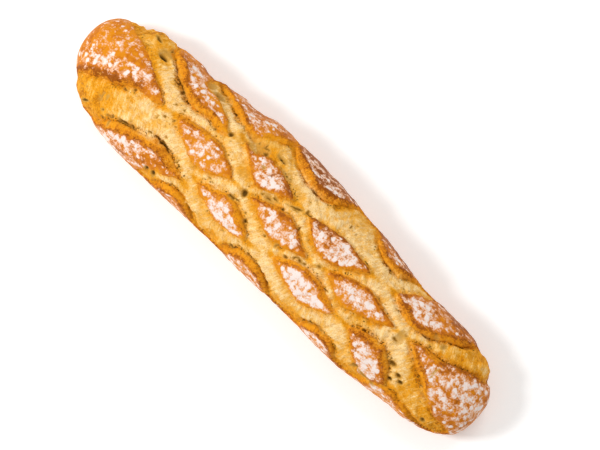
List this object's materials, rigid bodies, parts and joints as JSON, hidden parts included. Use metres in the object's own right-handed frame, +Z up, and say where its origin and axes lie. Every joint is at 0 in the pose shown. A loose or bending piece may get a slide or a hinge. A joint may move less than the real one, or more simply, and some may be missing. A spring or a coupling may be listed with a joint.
{
  "type": "baguette",
  "caption": "Long scored loaf with rounded ends and a flat underside, its crust slashed crosswise so that it opened into raised floury diamonds with paler crumb between them.",
  "frame": {"origin": "on the underside, under the middle of the loaf's length and width", "axes": "+X along the loaf, from the end with the longer rounding to the blunter end; +Y across it; +Z up, from the flat underside to the crown"},
  "size_m": [0.32, 0.08, 0.0488],
  "materials": {
    "crust": null
  },
  "bodies": {
    "root": {"loaf": "crust"}
  },
  "joints": []
}
